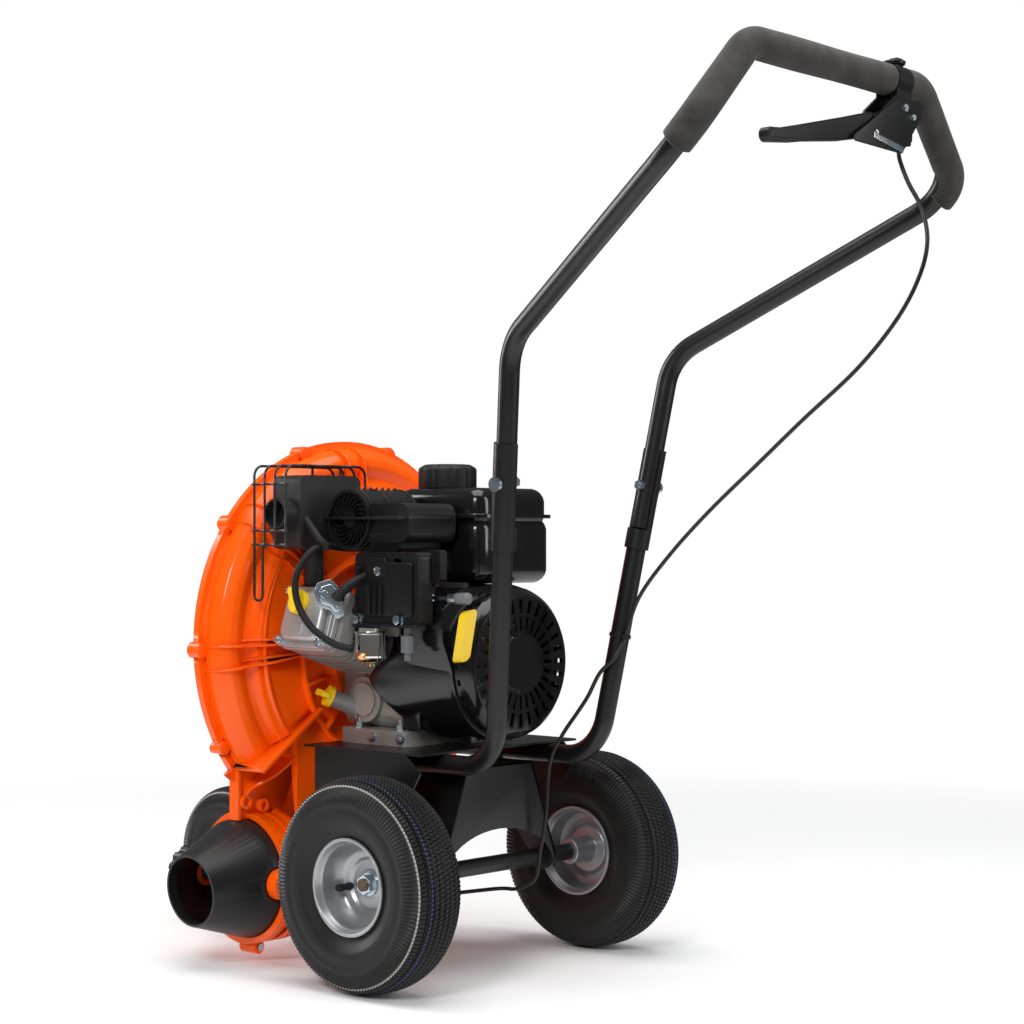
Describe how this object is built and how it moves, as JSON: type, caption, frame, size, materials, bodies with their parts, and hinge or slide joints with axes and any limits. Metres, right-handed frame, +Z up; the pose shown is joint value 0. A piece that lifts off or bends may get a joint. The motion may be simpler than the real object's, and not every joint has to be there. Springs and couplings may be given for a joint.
{
  "type": "walk-behind leaf blower",
  "caption": "Walk-behind wheeled leaf blower with an engine-driven fan in a scroll housing, side nozzle, push handle and three wheels.",
  "frame": {"origin": "middle of the footprint on the ground, under the middle of the bounding box without the free cable", "axes": "+X to the machine's left, where the nozzle points; +Y back to the operator; +Z up"},
  "size_m": [0.5615, 1.1765, 1.1257],
  "materials": {
    "black_plastic": "satin",
    "bright_metal": "satin",
    "cable": "satin",
    "cast": "cast",
    "dark_steel": "satin",
    "foam": "matte foam",
    "frame_black": "semi gloss",
    "housing": "gloss",
    "muffler": "heat proof matte",
    "rim": "satin",
    "tire": "matte",
    "yellow": "gloss",
    "zinc": "zinc plated"
  },
  "bodies": {
    "frame": {"base_plate": "frame_black", "axle_bracket": "frame_black", "axle": "frame_black", "axle_nuts": "bright_metal", "front_fork": "frame_black", "front_axle": "zinc", "lower_handle_left": "frame_black", "lower_handle_right": "frame_black", "upper_handle": "frame_black", "handle_bolts": "bright_metal", "foam_left": "foam", "foam_right": "foam", "lever_bracket": "frame_black", "control_cable": "cable", "cable_tie": "black_plastic", "housing_rear": "housing", "housing_front": "housing", "housing_screws": "zinc", "inlet_guard": "frame_black", "pivot_bolts": "zinc", "crankcase": "cast", "mount_studs": "zinc", "engine_cylinder": "cast", "valve_cover": "bright_metal", "breather_hose": "cable", "heat_shield": "bright_metal", "blower_shroud": "black_plastic", "recoil_cover": "black_plastic", "fuel_tank": "black_plastic", "air_cleaner": "black_plastic", "swirl_vanes": "black_plastic", "intake_cover": "black_plastic", "carburetor": "cast", "fuel_filter": "dark_steel", "muffler": "muffler", "muffler_guard": "frame_black"},
    "wheel_left": {"tire_left": "tire", "rim_left": "rim"},
    "wheel_right": {"tire_right": "tire", "rim_right": "rim"},
    "wheel_front": {"tire_front": "tire", "rim_front": "rim"},
    "crank": {"crankshaft": "bright_metal", "flywheel": "cast", "fan_wheel": "dark_steel"},
    "nozzle_tip": {"nozzle": "black_plastic"},
    "hand_lever": {"lever": "frame_black"},
    "knob": {"pivot_knob": "black_plastic"},
    "starter_grip": {"recoil_handle": "yellow"},
    "tank_cap": {"fuel_cap": "black_plastic"},
    "filler_cap": {"oil_cap": "yellow"},
    "oil_stick": {"dipstick": "yellow"},
    "throttle": {"throttle_lever": "bright_metal"},
    "switch": {"stop_switch": "black_plastic"}
  },
  "joints": [
    {"name": "wheel_left_roll", "type": "hinge", "parent": "frame", "child": "wheel_left", "pos_m": [0.21299, 0.01365, 0.134], "axis": [1, 0, 0], "continuous": true},
    {"name": "wheel_right_roll", "type": "hinge", "parent": "frame", "child": "wheel_right", "pos_m": [-0.21501, 0.01365, 0.134], "axis": [1, 0, 0], "continuous": true},
    {"name": "wheel_front_roll", "type": "hinge", "parent": "frame", "child": "wheel_front", "pos_m": [-0.00101, -0.47635, 0.1], "axis": [1, 0, 0], "continuous": true},
    {"name": "crank_spin", "type": "hinge", "parent": "frame", "child": "crank", "pos_m": [-0.00101, -0.08635, 0.4], "axis": [0, 1, 0], "continuous": true},
    {"name": "nozzle_tilt", "type": "hinge", "parent": "frame", "child": "nozzle_tip", "pos_m": [0.19099, -0.24835, 0.112], "axis": [0, -1, 0], "range_deg": [0, 28]},
    {"name": "lever_squeeze", "type": "hinge", "parent": "frame", "child": "hand_lever", "pos_m": [-0.12901, 0.55765, 1.064], "axis": [0, -1, 0], "range_deg": [0, 14]},
    {"name": "knob_turn", "type": "hinge", "parent": "frame", "child": "knob", "pos_m": [0.19099, -0.34635, 0.112], "axis": [0, -1, 0], "range_deg": [-180, 180]},
    {"name": "starter_pull", "type": "slide", "parent": "frame", "child": "starter_grip", "axis": [-0.3003, 0.861, 0.4105], "range_m": [0, 0.5], "stiffness_N_per_m": 15, "springref_m": -0.3},
    {"name": "fuel_cap_turn", "type": "hinge", "parent": "frame", "child": "tank_cap", "pos_m": [-0.02101, -0.07335, 0.626], "axis": [0, 0, 1], "range_deg": [0, 120]},
    {"name": "oil_cap_turn", "type": "hinge", "parent": "frame", "child": "filler_cap", "pos_m": [0.1874, -0.13635, 0.47804], "axis": [0.9511, 0, 0.309], "range_deg": [0, 120]},
    {"name": "dipstick_turn", "type": "hinge", "parent": "frame", "child": "oil_stick", "pos_m": [0.10699, -0.16235, 0.35], "axis": [0.8026, -0.4414, 0.4013], "range_deg": [0, 120]},
    {"name": "throttle_swing", "type": "hinge", "parent": "frame", "child": "throttle", "pos_m": [0.11499, 0.02565, 0.4897], "axis": [0, 0, 1], "range_deg": [-5, 18]},
    {"name": "switch_turn", "type": "hinge", "parent": "frame", "child": "switch", "pos_m": [0.11399, 0.04165, 0.5057], "axis": [0, 0, 1], "range_deg": [-8, 25]}
  ],
  "couplings": [
    {"joint": "nozzle_tilt", "follows": "lever_squeeze", "ratio": 2}
  ]
}
